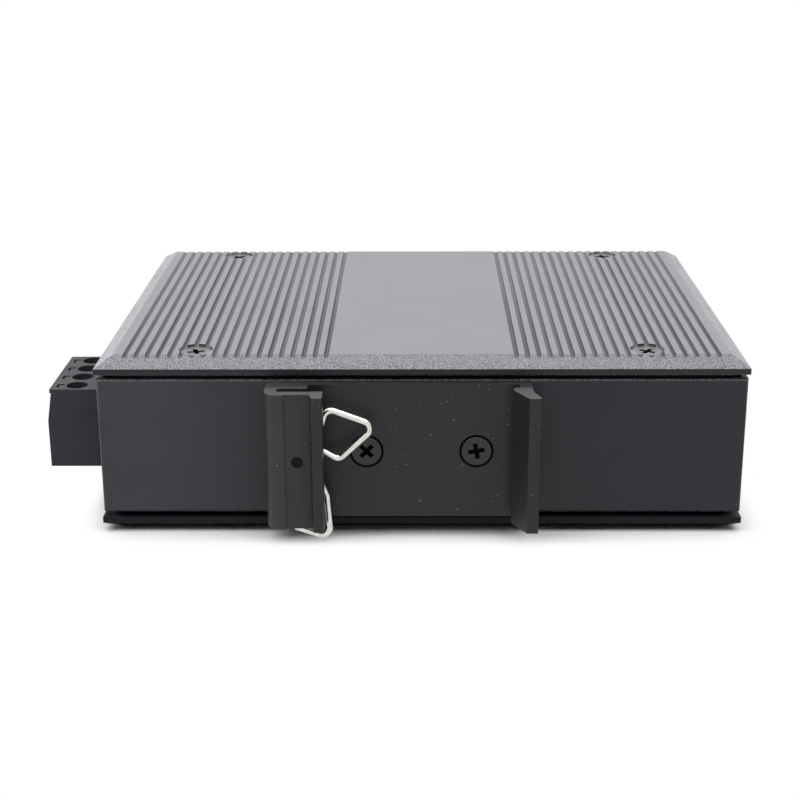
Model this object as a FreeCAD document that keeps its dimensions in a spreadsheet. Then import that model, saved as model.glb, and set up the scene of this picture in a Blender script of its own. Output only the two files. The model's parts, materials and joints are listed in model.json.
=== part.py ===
import FreeCAD, Part
import math
import os
import re
import Sketcher

# DIN rail ethernet switch, in millimetres. The case lies on its bottom side panel: +Z is up, -Y is
# the rear with the rail clip, +Y is the front with the ports, and -X is the end with the power
# terminal. The origin is the middle of the bottom panel's flat underside.

SIZES = {
    # case and its two ribbed side panels
    "case_width": 114.0,
    "case_depth": 84.0,
    "case_height": 32.4,
    "bevel_inset": 3.0,
    "bevel_rise": 1.8,
    "rim_band": 1.1,
    "seat_step": 0.8,
    "seat_inset": 2.4,
    "groove_pitch": 1.958,
    "groove_count": 19,
    "groove_margin": 2.18,
    "groove_mouth": 0.85,
    "groove_floor": 0.5,
    "groove_sink": 0.7,
    # screws and nuts that hold the panels
    "thread_width": 3.0,
    "thread_play": 0.4,
    "head_width": 5.5,
    "head_play": 0.6,
    "head_rim": 0.2,
    "head_sink": 0.5,
    "cross_width": 0.8,
    "cross_reach": 3.0,
    "cross_sink": 1.1,
    "panel_screw_side": 17.2,
    "panel_screw_end": 6.3,
    "panel_screw_length": 6.0,
    "nut_width": 5.5,
    "nut_depth": 2.0,
    "nut_play": 0.1,
    # folded chassis and front plate
    "sheet": 1.2,
    "wall_inset": 0.2,
    "bend_outer": 0.8,
    "flange_depth": 12.0,
    "flange_relief": 4.0,
    # ports
    "port_count": 5,
    "port_gap": 1.6,
    "port_shift": 6.0,
    "port_width": 16.0,
    "port_height": 13.4,
    "port_depth": 21.0,
    "port_play": 0.2,
    "shield": 0.3,
    "insert_play": 0.1,
    "cavity_width": 11.9,
    "cavity_low": 3.9,
    "cavity_high": 11.2,
    "cavity_depth": 12.5,
    "latch_width": 6.4,
    "latch_low": 2.3,
    "key_width": 3.4,
    "key_low": 1.1,
    "wire_count": 8,
    "wire_pitch": 1.02,
    "wire_width": 0.45,
    "wire_front": 4.0,
    "wire_back": 11.0,
    "wire_drop": 2.8,
    "wire_rise": 0.8,
    # circuit board and what stands on it
    "board_thickness": 1.6,
    "board_gap": 1.0,
    "post_side": 9.0,
    "post_far": 3.8,
    "post_near": 4.0,
    "post_width": 5.5,
    "post_root": 1.6,
    "post_web": 1.0,
    "board_screw_gap": 0.9,
    "pan_width": 5.4,
    "pan_height": 1.8,
    "magnetics_width": 12.7,
    "magnetics_depth": 13.0,
    "magnetics_height": 6.0,
    "magnetics_gap": 3.0,
    "chip_width": 20.0,
    "chip_height": 1.4,
    "chip_right": 15.0,
    "chip_rear": 10.0,
    "inductor_width": 12.0,
    "inductor_height": 6.0,
    "capacitor_width": 8.0,
    "capacitor_height": 11.5,
    "capacitor_pitch": 10.0,
    "capacitor_gap": 12.0,
    "supply_side": 20.0,
    "supply_rear": 10.0,
    "lamp_pitch": 6.0,
    "lamp_height": 0.8,
    "pipe_width": 2.8,
    "pipe_rise": 7.0,
    "pipe_reach": 7.0,
    "pipe_proud": 0.3,
    # rail clip: an extrusion cut to length, across the case
    "rail_width": 35.0,
    "rail_right": 16.9,
    "rail_play": 1.5,
    "clip_inset": 0.25,
    "clip_plate": 2.2,
    "clip_back_right": 19.05,
    "clip_block": 7.27,
    "clip_slot": 5.25,
    "slot_low": 4.4,
    "slot_high": 6.07,
    "arm_face": 7.77,
    "boss_face": 8.05,
    "boss_length": 3.4,
    "lip_grip": 1.3,
    "lip_length": 1.8,
    "lip_slope": 0.45,
    "lip_low": 5.95,
    "lip_face": 9.75,
    "jaw_face": 10.0,
    "jaw_front": 1.95,
    "jaw_flare": 1.05,
    "jaw_flare_low": 9.2,
    "jaw_waist": 6.2,
    "hook_reach": 1.26,
    "hook_tip": 5.27,
    "hook_seat": 3.8,
    "clip_screw_side": 9.6,
    "clip_screw_length": 6.0,
    "clip_end_round": 2.3,
    "clip_lip_round": 0.3,
    "jaw_waist_round": 1.5,
    "hook_lean": 0.4,
    # wire spring and its pin
    "pin_width": 2.06,
    "pin_play": 0.04,
    "pin_back": 1.73,
    "pin_root": 2.8,
    "pin_sink": 0.1,
    "spring_wire": 1.2,
    "spring_loop": 2.25,
    "spring_reach": 6.93,
    "spring_tip": 11.4,
    "spring_shoulder": 1.78,
    "spring_shoulder_rise": 10.17,
    "spring_tail": 1.1,
    "spring_tail_drop": 2.2,
    "spring_bend": 1.5,
    "spring_lean": 24.0,
    # power plug and its header
    "pole_count": 4,
    "pole_pitch": 5.08,
    "plug_rear": 10.1,
    "plug_height": 14.8,
    "plug_drop": 1.5,
    "plug_reach": 10.95,
    "plug_brow": 0.7,
    "plug_brow_back": 0.6,
    "plug_slope_back": 0.85,
    "plug_slope_low": 8.8,
    "nose_length": 7.6,
    "nose_low": 3.2,
    "nose_height": 6.0,
    "nose_width": 18.8,
    "nose_play": 0.2,
    "driver_side": 5.75,
    "driver_width": 3.9,
    "chamber_front": 3.5,
    "chamber_length": 4.5,
    "chamber_width": 4.0,
    "chamber_low": 1.1,
    "chamber_high": 10.4,
    "entry_width": 2.8,
    "entry_low": 2.2,
    "entry_high": 5.2,
    "socket_low": 4.9,
    "socket_high": 7.5,
    "socket_width": 2.4,
    "leaf": 0.4,
    "fork_root": 0.7,
    "fork_high": 7.3,
    "fork_back": 0.5,
    "strip_end": 0.4,
    "strip_low": 5.2,
    "strip_high": 5.9,
    "strip_width": 2.0,
    "cage_wall": 0.8,
    "cage_width": 3.8,
    "cage_length": 3.9,
    "cage_top": 1.4,
    "cage_play": 0.2,
    "cage_rise": 0.3,
    "clamp_head": 3.6,
    "clamp_head_height": 1.6,
    "clamp_thread": 2.9,
    "clamp_play": 0.1,
    "clamp_top": 11.8,
    "clamp_slot": 0.7,
    "clamp_slot_sink": 0.9,
    "notch_far": 1.55,
    "notch_leg": 0.5,
    "notch_span": 1.3,
    "notch_sink": 0.8,
    "shroud_wall": 0.9,
    "shroud_back": 1.8,
    "shroud_height": 9.1,
    "shroud_play": 0.3,
    "post_pin": 1.0,
    "post_pin_low": 5.8,
    "pin_tip": 2.0,
    "pin_tail": 1.4,
    "pin_tail_low": 1.0,
    "pin_hole": 1.6,
}

doc = FreeCAD.newDocument("RailSwitch")
sheet = doc.addObject("Spreadsheet::Sheet", "Sizes")
for row, (alias, number) in enumerate(SIZES.items(), start=1):
    sheet.set(f"A{row}", alias)
    sheet.set(f"B{row}", str(number))
    sheet.setAlias(f"B{row}", alias)
doc.recompute()

# Places that several pieces share, as expressions of the sheet's cells.
PANEL = "(bevel_rise + rim_band + seat_step)"
MIDDLE = "(case_height / 2)"
ROOF = f"(case_height - {PANEL})"
REAR = "(wall_inset - case_depth / 2)"
FRONT = "(case_depth / 2 - wall_inset)"
SIDE = "(case_width / 2 - wall_inset)"
BOARD_LOW = "((case_height - port_height - board_thickness) / 2)"
BOARD_LIFT = f"({BOARD_LOW} - {PANEL})"
BOARD_TOP = f"({BOARD_LOW} + board_thickness)"
BOARD_SCREW = f"({BOARD_LIFT} + board_thickness - post_web - board_screw_gap)"
PANEL_SCREW_X = "(case_width / 2 - panel_screw_side)"
PANEL_SCREW_Y = "(case_depth / 2 - panel_screw_end)"
HOLE_WIDTH = "(thread_width + thread_play)"
RAIL_LEFT = "(rail_right - rail_width)"
ARM_END = f"({RAIL_LEFT} - rail_play)"
PIN_X = f"({ARM_END} - pin_back)"
SPRING_Y = f"({REAR} - (slot_low + lip_low) / 2)"
PLUG_LOW = f"({BOARD_TOP} - plug_drop)"
PLUG_TOP = f"({PLUG_LOW} + plug_height)"
PLUG_BACK = "(-case_width / 2)"
PLUG_FACE = "(-case_width / 2 - plug_reach)"
PLUG_MID = "(plug_rear + pole_count * pole_pitch / 2 - case_depth / 2)"
DRIVER_X = f"({PLUG_BACK} - driver_side)"
CHAMBER_X = f"({PLUG_BACK} - chamber_front)"
SHROUD_MOUTH = f"(-{SIDE})"
SHROUD_END = f"({PLUG_BACK} + nose_length + nose_play + shroud_back)"
SHROUD_WIDTH = "(nose_width + 2 * nose_play + 2 * shroud_wall)"
HEADER_PIN_X = f"({SHROUD_END} + pin_tail)"
SUPPLY_X = "(supply_side - case_width / 2)"
SUPPLY_Y = f"({REAR} + sheet + supply_rear)"
PORT_FACE = "(case_depth / 2)"


def bound(text):
    """An expression with each size named as a cell of the sheet."""
    return re.sub(r"[a-z_]+", lambda word: "Sizes." + word.group(), text)


def size(name):
    """The number in one cell of the sheet."""
    return float(sheet.get(name))


def new_body(label):
    body = doc.addObject("PartDesign::Body", label)
    body.Label = label
    return body


def origin_part(body, role):
    """One of a body's own origin planes or axes."""
    for feature in body.Origin.OriginFeatures:
        if feature.Role == role:
            return feature
    raise ValueError(role)


def new_sketch(body, name, role, lift):
    sketch = body.newObject("Sketcher::SketchObject", name)
    sketch.AttachmentSupport = [(origin_part(body, role), "")]
    sketch.MapMode = "FlatFace"
    sketch.setExpression("AttachmentOffset.Base.z", bound(lift))
    return sketch


def pin_point(sketch, shape, point, across, along):
    """Dimension one point of a sketch from its origin, both ways."""
    for kind, text in (("DistanceX", across), ("DistanceY", along)):
        index = sketch.addConstraint(Sketcher.Constraint(kind, -1, 1, shape, point, 1.0))
        sketch.setExpression(f"Constraints[{index}]", bound(text))


def outline(body, name, role, polygons, lift="0"):
    """A sketch of closed polygons, each corner dimensioned from the origin."""
    sketch = new_sketch(body, name, role, lift)
    for corners in polygons:
        first = sketch.GeometryCount
        count = len(corners)
        turn = 2 * math.pi / count
        ring = [FreeCAD.Vector(math.cos(turn * k), math.sin(turn * k), 0) for k in range(count)]
        for k in range(count):
            sketch.addGeometry(Part.LineSegment(ring[k], ring[(k + 1) % count]), False)
        for k in range(count):
            other = first + (k + 1) % count
            sketch.addConstraint(Sketcher.Constraint("Coincident", first + k, 2, other, 1))
        for k, (across, along) in enumerate(corners):
            pin_point(sketch, first + k, 1, across, along)
    return sketch


def rectangle(left, right, low, high):
    return [(left, low), (right, low), (right, high), (left, high)]


def discs(body, name, role, centres, width, lift="0"):
    """A sketch of equal circles."""
    sketch = new_sketch(body, name, role, lift)
    for across, along in centres:
        circle = Part.Circle(FreeCAD.Vector(0, 0, 0), FreeCAD.Vector(0, 0, 1), 1.0)
        shape = sketch.addGeometry(circle, False)
        index = sketch.addConstraint(Sketcher.Constraint("Diameter", shape, 2.0))
        sketch.setExpression(f"Constraints[{index}]", bound(width))
        pin_point(sketch, shape, 3, across, along)
    return sketch


def pad(body, sketch, length, back=False, both=False):
    feature = body.newObject("PartDesign::Pad", sketch.Name + "_pad")
    feature.Profile = sketch
    feature.setExpression("Length", bound(length))
    feature.Reversed = back
    feature.Midplane = both
    doc.recompute()
    return feature


def cut(body, sketch, length=None, back=False, both=False):
    """A pocket, through everything without a length, that must take material away."""
    before = body.Tip.Shape.Volume
    feature = body.newObject("PartDesign::Pocket", sketch.Name + "_cut")
    feature.Profile = sketch
    if length is None:
        feature.Type = "ThroughAll"
    else:
        feature.setExpression("Length", bound(length))
    feature.Reversed = back
    feature.Midplane = both
    doc.recompute()
    if feature.Shape.Volume > before - 1e-6:
        raise ValueError(feature.Name + " cuts nothing")
    return feature


def edges_where(feature, *tests):
    """The names of a feature's open edges whose two ends both pass one of the tests."""
    names = []
    for number, edge in enumerate(feature.Shape.Edges, start=1):
        ends = [corner.Point for corner in edge.Vertexes]
        if len(ends) == 2 and any(test(ends[0]) and test(ends[1]) for test in tests):
            names.append(f"Edge{number}")
    if not names:
        raise ValueError("no such edge on " + feature.Name)
    return names


def round_edges(body, name, radius, *tests):
    base = body.Tip
    feature = body.newObject("PartDesign::Fillet", name)
    feature.Base = (base, edges_where(base, *tests))
    feature.setExpression("Radius", bound(radius))
    doc.recompute()
    return feature


def near(value, target):
    return abs(value - target) < 1e-4


def round_corners(body, name, sketch, corners, radius):
    """Round the edges along Z through some corners of an extrusion's profile."""

    def at(spot):
        return lambda p: near(p.x, spot.x) and near(p.y, spot.y)

    tests = [at(sketch.getPoint(corner, 1)) for corner in corners]
    return round_edges(body, name, radius, *tests)


def countersunk(body, name, role, centres, width, lift):
    """Countersunk clearance holes for the screws, from a level downwards."""
    sketch = discs(body, name, role, centres, HOLE_WIDTH, lift)
    doc.recompute()
    feature = body.newObject("PartDesign::Hole", name + "_holes")
    feature.Profile = sketch
    doc.recompute()
    feature.DepthType = "ThroughAll"
    feature.setExpression("Diameter", bound(HOLE_WIDTH))
    feature.HoleCutType = "Countersink"
    feature.HoleCutCountersinkAngle = 90
    feature.setExpression("HoleCutDiameter", bound(width))
    doc.recompute()
    return feature


def spun(body, name, corners):
    """A solid turned about Z from a half section of (radius, height) corners."""
    sketch = outline(body, name, "XZ_Plane", [corners])
    feature = body.newObject("PartDesign::Revolution", name + "_turn")
    feature.Profile = sketch
    feature.ReferenceAxis = (origin_part(body, "Z_Axis"), [""])
    feature.Angle = 360
    doc.recompute()
    return feature


def turned(about_x=0, about_z=0):
    """A turn about Z and then one about X."""
    lie = FreeCAD.Rotation(FreeCAD.Vector(1, 0, 0), about_x)
    return lie.multiply(FreeCAD.Rotation(FreeCAD.Vector(0, 0, 1), about_z))


def place(piece, x, y, z, rotation):
    """Turn a piece about its own origin and bind its place to the sheet."""
    piece.Placement = FreeCAD.Placement(FreeCAD.Vector(), rotation)
    for letter, text in (("x", x), ("y", y), ("z", z)):
        piece.setExpression("Placement.Base." + letter, bound(text))
    return piece


def copy_of(master, name, x="0", y="0", z="0", rotation=turned()):
    """A copy of a master's solid, set at a place worked out from the sheet."""
    piece = doc.addObject("Part::Feature", name)
    piece.Label = name
    piece.Shape = master.Shape.copy()
    return place(piece, x, y, z, rotation)


def box(name, x, y, z, width, depth, height):
    """A Part box from its lowest corner."""
    piece = doc.addObject("Part::Box", name)
    piece.Label = name
    for prop, text in (("Length", width), ("Width", depth), ("Height", height)):
        piece.setExpression(prop, bound(text))
    return place(piece, x, y, z, turned())


def rod(name, x, y, z, width, height, rotation=turned()):
    """A Part cylinder from the middle of its first end."""
    piece = doc.addObject("Part::Cylinder", name)
    piece.Label = name
    piece.setExpression("Radius", bound(f"({width}) / 2"))
    piece.setExpression("Height", bound(height))
    return place(piece, x, y, z, rotation)


def grouped(label, members):
    """Like pieces that share one node, as separate solids."""
    piece = doc.addObject("Part::Compound", label)
    piece.Label = label
    piece.Links = members
    return piece


def fused(label, members):
    piece = doc.addObject("Part::MultiFuse", label)
    piece.Label = label
    piece.Shapes = members
    return piece


def without(label, base, tools):
    """A base with one or more tools cut away."""
    piece = doc.addObject("Part::Cut", label)
    piece.Label = label
    piece.Base = base
    piece.Tool = tools[0] if len(tools) == 1 else fused(label + "_tools", tools)
    return piece


def side_panel():
    """Ribbed aluminium side panel: bevelled plate, seat step, two fields of grooves, four screws."""
    body = new_body("top_side_panel")
    low = "(case_height - bevel_rise - rim_band)"
    half = ("case_width / 2", "case_depth / 2")
    footprint = rectangle(f"-{half[0]}", half[0], f"-{half[1]}", half[1])
    plate = outline(body, "plate", "XY_Plane", [footprint], low)
    slab = pad(body, plate, "bevel_rise + rim_band")
    top = size("case_height")
    bevel = body.newObject("PartDesign::Chamfer", "panel_bevel")
    bevel.Base = (slab, edges_where(slab, lambda p: near(p.z, top)))
    bevel.ChamferType = "Two distances"
    bevel.setExpression("Size", bound("bevel_rise"))
    bevel.setExpression("Size2", bound("bevel_inset"))
    doc.recompute()
    wide = f"({half[0]} - seat_inset)"
    deep = f"({half[1]} - seat_inset)"
    seat = outline(body, "seat", "XY_Plane", [rectangle(f"-{wide}", wide, f"-{deep}", deep)], low)
    pad(body, seat, "seat_step", back=True)
    for side, name in ((1, "right"), (-1, "left")):
        middle = f"{side} * (case_width / 2 - bevel_inset - groove_margin)"
        mouth = "(groove_mouth / 2)"
        floor = "(groove_floor / 2)"
        section = [
            (f"{middle} - {mouth}", "case_height + 1"),
            (f"{middle} + {mouth}", "case_height + 1"),
            (f"{middle} + {mouth}", "case_height - groove_sink / 4"),
            (f"{middle} + {floor}", "case_height - groove_sink"),
            (f"{middle} - {floor}", "case_height - groove_sink"),
            (f"{middle} - {mouth}", "case_height - groove_sink / 4"),
        ]
        first = cut(body, outline(body, name + "_groove", "XZ_Plane", [section]), both=True)
        row = body.newObject("PartDesign::LinearPattern", name + "_grooves")
        row.Originals = [first]
        row.Direction = (origin_part(body, "X_Axis"), [""])
        row.Reversed = side > 0
        row.setExpression("Length", bound("(groove_count - 1) * groove_pitch"))
        row.setExpression("Occurrences", bound("groove_count"))
        body.Tip = row
        doc.recompute()
    spots = [(f"{a} * {PANEL_SCREW_X}", f"{b} * {PANEL_SCREW_Y}") for a in (-1, 1) for b in (-1, 1)]
    width = "(head_width + head_play)"
    cut(body, discs(body, "screw_sinks", "XY_Plane", spots, width, "case_height"), "head_sink")
    countersunk(body, "panel_screw", "XY_Plane", spots, width, "(case_height - head_sink)")
    return body


def rear_chassis():
    """Folded sheet: rear wall with two flanges, and two end walls."""
    body = new_body("rear_chassis")
    front = f"({FRONT} - sheet)"
    plan = outline(body, "chassis_plan", "XY_Plane", [rectangle(f"-{SIDE}", SIDE, REAR, front)], PANEL)
    pad(body, plan, f"{ROOF} - {PANEL}")
    rear = body.Tip.Shape.BoundBox.YMin
    round_edges(body, "chassis_bends", "bend_outer", lambda p: near(p.y, rear))
    inner = f"({SIDE} - sheet)"
    bay = rectangle(f"-{inner}", inner, f"{PANEL} + sheet", f"{ROOF} - sheet")
    hollow = outline(body, "chassis_hollow", "XZ_Plane", [bay], f"-{front}")
    cut(body, hollow, f"{front} - {REAR} - sheet", back=True)
    end = f"({SIDE} - flange_relief)"
    back = f"({REAR} + flange_depth)"
    opening = [
        (f"-{inner}", FRONT),
        (inner, FRONT),
        (inner, f"{REAR} + sheet"),
        (end, f"{REAR} + sheet"),
        (end, back),
        (f"-{end}", back),
        (f"-{end}", f"{REAR} + sheet"),
        (f"-{inner}", f"{REAR} + sheet"),
    ]
    cut(body, outline(body, "chassis_opening", "XY_Plane", [opening], "case_height"))
    half = f"({SHROUD_WIDTH} / 2 + shroud_play)"
    window = rectangle(
        f"{PLUG_MID} - {half}",
        f"{PLUG_MID} + {half}",
        f"{BOARD_TOP} - shroud_play",
        f"{BOARD_TOP} + shroud_height + shroud_play",
    )
    cut(body, outline(body, "power_window", "YZ_Plane", [window], f"-{SIDE}"), "2 * sheet", back=True)
    spots = [(f"{a} * clip_screw_side", MIDDLE) for a in (-1, 1)]
    cut(body, discs(body, "clip_hole", "XZ_Plane", spots, HOLE_WIDTH, f"-{REAR}"), "2 * sheet")
    spots = [(f"{a} * {PANEL_SCREW_X}", f"-{PANEL_SCREW_Y}") for a in (-1, 1)]
    cut(body, discs(body, "flange_hole", "XY_Plane", spots, HOLE_WIDTH, "case_height"))
    return body


def port_x(port):
    return f"(port_shift + ({port} - (port_count - 1) / 2) * (port_width + port_gap))"


def lamp_x(lamp):
    """The two lamps stand midway between the first port and the end of the case."""
    middle = f"({port_x(0)} - port_width / 2 - case_width / 2) / 2"
    return f"({middle} + ({lamp} - 0.5) * lamp_pitch)"


def pole_y(pole):
    return f"({PLUG_MID} + ({pole} - (pole_count - 1) / 2) * pole_pitch)"


def front_plate():
    """Folded front: a web with the port cut-outs between two flanges."""
    body = new_body("front_plate")
    web_back = f"({FRONT} - sheet)"
    lip_back = f"({FRONT} - flange_depth)"
    channel = [
        (FRONT, PANEL),
        (FRONT, ROOF),
        (lip_back, ROOF),
        (lip_back, f"{ROOF} - sheet"),
        (web_back, f"{ROOF} - sheet"),
        (web_back, f"{PANEL} + sheet"),
        (lip_back, f"{PANEL} + sheet"),
        (lip_back, PANEL),
    ]
    length = f"2 * ({SIDE} - flange_relief)"
    pad(body, outline(body, "front_channel", "YZ_Plane", [channel]), length, both=True)
    face = rectangle(f"-{SIDE}", SIDE, PANEL, ROOF)
    pad(body, outline(body, "front_web", "XZ_Plane", [face], f"-{web_back}"), "sheet", back=True)
    bounds = body.Tip.Shape.BoundBox
    for name, level in (("low_bend", bounds.ZMin), ("high_bend", bounds.ZMax)):
        round_edges(body, name, "bend_outer", lambda p: near(p.y, bounds.YMax) and near(p.z, level))
    half = "(port_width / 2 + port_play)"
    low = f"({BOARD_TOP} - port_play)"
    high = f"({BOARD_TOP} + port_height + port_play)"
    ports = range(int(size("port_count")))
    windows = [rectangle(f"{port_x(k)} - {half}", f"{port_x(k)} + {half}", low, high) for k in ports]
    cut(body, outline(body, "port_windows", "XZ_Plane", windows, f"-{FRONT}"), "2 * sheet", back=True)
    spots = [(lamp_x(k), f"{BOARD_TOP} + pipe_rise") for k in range(2)]
    width = "(pipe_width + 2 * port_play)"
    cut(body, discs(body, "lamp_hole", "XZ_Plane", spots, width, f"-{FRONT}"), "2 * sheet", back=True)
    spots = [(f"{a} * {PANEL_SCREW_X}", PANEL_SCREW_Y) for a in (-1, 1)]
    cut(body, discs(body, "front_flange_hole", "XY_Plane", spots, HOLE_WIDTH, "case_height"))
    return body


def out(depth):
    """A level of the rail clip, measured out of the rear wall."""
    return f"({REAR} - {depth})"


def din_clip():
    """Rail clip cut from one extrusion: plate, fixed jaw, and a slotted block with the lip."""
    body = new_body("din_clip")
    left = f"({ARM_END} - clip_block)"
    slot_end = f"({ARM_END} - clip_slot)"
    lip_right = f"({RAIL_LEFT} + lip_grip)"
    lip_left = f"({lip_right} - lip_length)"
    jaw_right = "(clip_back_right + jaw_flare)"
    hook = "(rail_right - hook_reach)"
    profile = [
        (left, REAR),
        ("clip_back_right", REAR),
        ("clip_back_right", out("jaw_waist")),
        (jaw_right, out("jaw_flare_low")),
        (jaw_right, out("jaw_face")),
        (f"{jaw_right} - jaw_front", out("jaw_face")),
        (hook, out("hook_tip")),
        (f"{hook} + hook_lean", out("hook_seat")),
        ("rail_right", out("hook_seat")),
        ("rail_right", out("clip_plate")),
        (ARM_END, out("clip_plate")),
        (ARM_END, out("slot_low")),
        (slot_end, out("slot_low")),
        (slot_end, out("slot_high")),
        (lip_left, out("slot_high")),
        (lip_left, out("lip_low")),
        (lip_right, out("lip_low")),
        (lip_right, out("lip_face")),
        (lip_left, out("lip_face")),
        (f"{lip_left} - lip_slope", out("arm_face")),
        (f"{left} + boss_length", out("arm_face")),
        (f"{left} + boss_length", out("boss_face")),
        (left, out("boss_face")),
    ]
    section = outline(body, "clip_section", "XY_Plane", [profile], f"({PANEL} + clip_inset)")
    pad(body, section, f"{ROOF} - {PANEL} - 2 * clip_inset")
    round_corners(body, "clip_end", section, [22], "clip_end_round")
    round_corners(body, "slot_root", section, [12, 13], "(slot_high - slot_low) * 0.45")
    round_corners(body, "lip_corners", section, [16, 17, 18], "clip_lip_round")
    round_corners(body, "jaw_throat", section, [2], "jaw_waist_round")
    round_corners(body, "jaw_corners", section, [3, 4, 5, 6], "clip_lip_round / 2")
    spots = [(f"{a} * clip_screw_side", MIDDLE) for a in (-1, 1)]
    face = f"-{out('clip_plate')}"
    countersunk(body, "clip_screw", "XZ_Plane", spots, "(head_width + head_play)", face)
    pin_hole = [(PIN_X, MIDDLE)]
    pin = discs(body, "pin_hole", "XZ_Plane", pin_hole, "(pin_width + pin_play)", f"-{out('arm_face')}")
    cut(body, pin, "arm_face - pin_root")
    return body


def countersunk_screw(name, length):
    """Cross recessed countersunk screw, its head's top at the origin and its tip below."""
    body = new_body(name)
    head = "(head_width / 2)"
    thread = "(thread_width / 2)"
    half_section = [
        ("0", "0"),
        (head, "0"),
        (head, "-head_rim"),
        (thread, f"-(head_rim + {head} - {thread})"),
        (thread, f"-{length}"),
        ("0", f"-{length}"),
    ]
    spun(body, name + "_half", half_section)
    cross_recess(body, name, "0")
    return body


def cross_recess(body, name, level):
    """Cut a cross into a screw's head."""
    near_side = "(cross_width / 2)"
    far_side = "(cross_reach / 2)"
    cross = []
    for a, b in ((1, 1), (-1, 1), (-1, -1), (1, -1)):
        long_x = (f"{a} * {far_side}", f"{b} * {near_side}")
        inner = (f"{a} * {near_side}", f"{b} * {near_side}")
        long_y = (f"{a} * {near_side}", f"{b} * {far_side}")
        cross += [long_x, inner, long_y] if a * b > 0 else [long_y, inner, long_x]
    cut(body, outline(body, name + "_cross", "XY_Plane", [cross], level), "cross_sink")


def panel_screws(label, master, top):
    """Four screws of one side panel, each stopped at its own angle."""
    screws = []
    level = "(case_height - head_sink)" if top else "head_sink"
    for k, (a, b) in enumerate(((-1, -1), (1, -1), (1, 1), (-1, 1))):
        rotation = turned(about_x=0 if top else 180, about_z=17 + 40 * k)
        spot = (f"{a} * {PANEL_SCREW_X}", f"{b} * {PANEL_SCREW_Y}", level)
        screws.append(copy_of(master, f"{label}_{k + 1}", *spot, rotation))
    return grouped(label, screws)


def pressed_nuts():
    """Pressed nuts: eight inside the flanges, and two behind the rear wall for the clip."""
    master = new_body("pressed_nut")
    bore = "((thread_width + nut_play) / 2)"
    spun(master, "nut_half", rectangle(bore, "nut_width / 2", "-nut_depth", "0"))
    nuts = []
    for level in (f"{ROOF} - sheet", f"{PANEL} + sheet + nut_depth"):
        for a in (-1, 1):
            for b in (-1, 1):
                spot = (f"{a} * {PANEL_SCREW_X}", f"{b} * {PANEL_SCREW_Y}", level)
                nuts.append(copy_of(master, f"panel_nut_{len(nuts) + 1}", *spot))
    behind = []
    for a in (-1, 1):
        spot = (f"{a} * clip_screw_side", f"{REAR} + sheet", MIDDLE)
        behind.append(copy_of(master, f"clip_nut_{len(behind) + 1}", *spot, turned(about_x=90)))
    return [grouped("panel_nuts", nuts), grouped("clip_nuts", behind)]


def bend(before, corner, after, radius):
    """The arc that rounds one corner of a path: its start, middle and end."""
    first = (before - corner).normalize()
    second = (after - corner).normalize()
    half = first.getAngle(second) / 2
    reach = radius / math.tan(half)
    inward = (first + second).normalize()
    middle = corner + inward * (radius / math.sin(half) - radius)
    return corner + first * reach, middle, corner + second * reach


def straight_wire(start, end):
    return Part.makeCylinder(size("spring_wire") / 2, start.distanceToPoint(end), start, end - start)


def bent_wire(first, middle, last):
    """A round wire along an arc through three points."""
    arc = Part.Arc(first, middle, last).toShape()
    along = arc.tangentAt(arc.FirstParameter)
    ring = Part.Wire(Part.Circle(first, along, size("spring_wire") / 2).toShape())
    turn = math.degrees(arc.LastParameter - arc.FirstParameter)
    return Part.Face(ring).revolve(arc.Curve.Center, arc.Curve.Axis, turn)


def wire_spring():
    """One wire: a loop round the pin, two arms out to their tips and back to short tails."""
    loop = size("spring_loop")
    reach = size("spring_reach")
    tip = size("spring_tip")
    shoulder = size("spring_shoulder")
    rise = size("spring_shoulder_rise")
    tail = (shoulder - size("spring_tail"), rise - size("spring_tail_drop"))
    arm = [(0, loop), (reach, loop), (tip, tip), (shoulder, rise), tail]
    bow = [FreeCAD.Vector(*spot) for spot in ((0, 0, -loop), (-loop, 0, 0), (0, 0, loop))]
    runs = [bent_wire(*bow)]
    for hand in (-1, 1):
        corners = [FreeCAD.Vector(u, 0, hand * w) for u, w in arm]
        start = corners[0]
        for before, corner, after in zip(corners, corners[1:], corners[2:]):
            first, middle, last = bend(before, corner, after, size("spring_bend"))
            runs.append(straight_wire(start, first))
            runs.append(bent_wire(first, middle, last))
            start = last
        runs.append(straight_wire(start, corners[-1]))
    piece = doc.addObject("Part::Feature", "wire_spring")
    piece.Label = "wire_spring"
    piece.Shape = runs[0].multiFuse(runs[1:]).removeSplitter()
    if len(piece.Shape.Solids) != 1:
        raise ValueError("the wire is not in one piece")
    lean = FreeCAD.Rotation(FreeCAD.Vector(0, 1, 0), size("spring_lean"))
    return place(piece, PIN_X, SPRING_Y, MIDDLE, lean)


def spring_pin():
    """Straight pin pressed through the clip's front arm into its rear arm."""
    return rod(
        "spring_pin",
        PIN_X,
        out("pin_root"),
        MIDDLE,
        "pin_width",
        "arm_face - pin_sink - pin_root",
        turned(about_x=90),
    )


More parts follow.
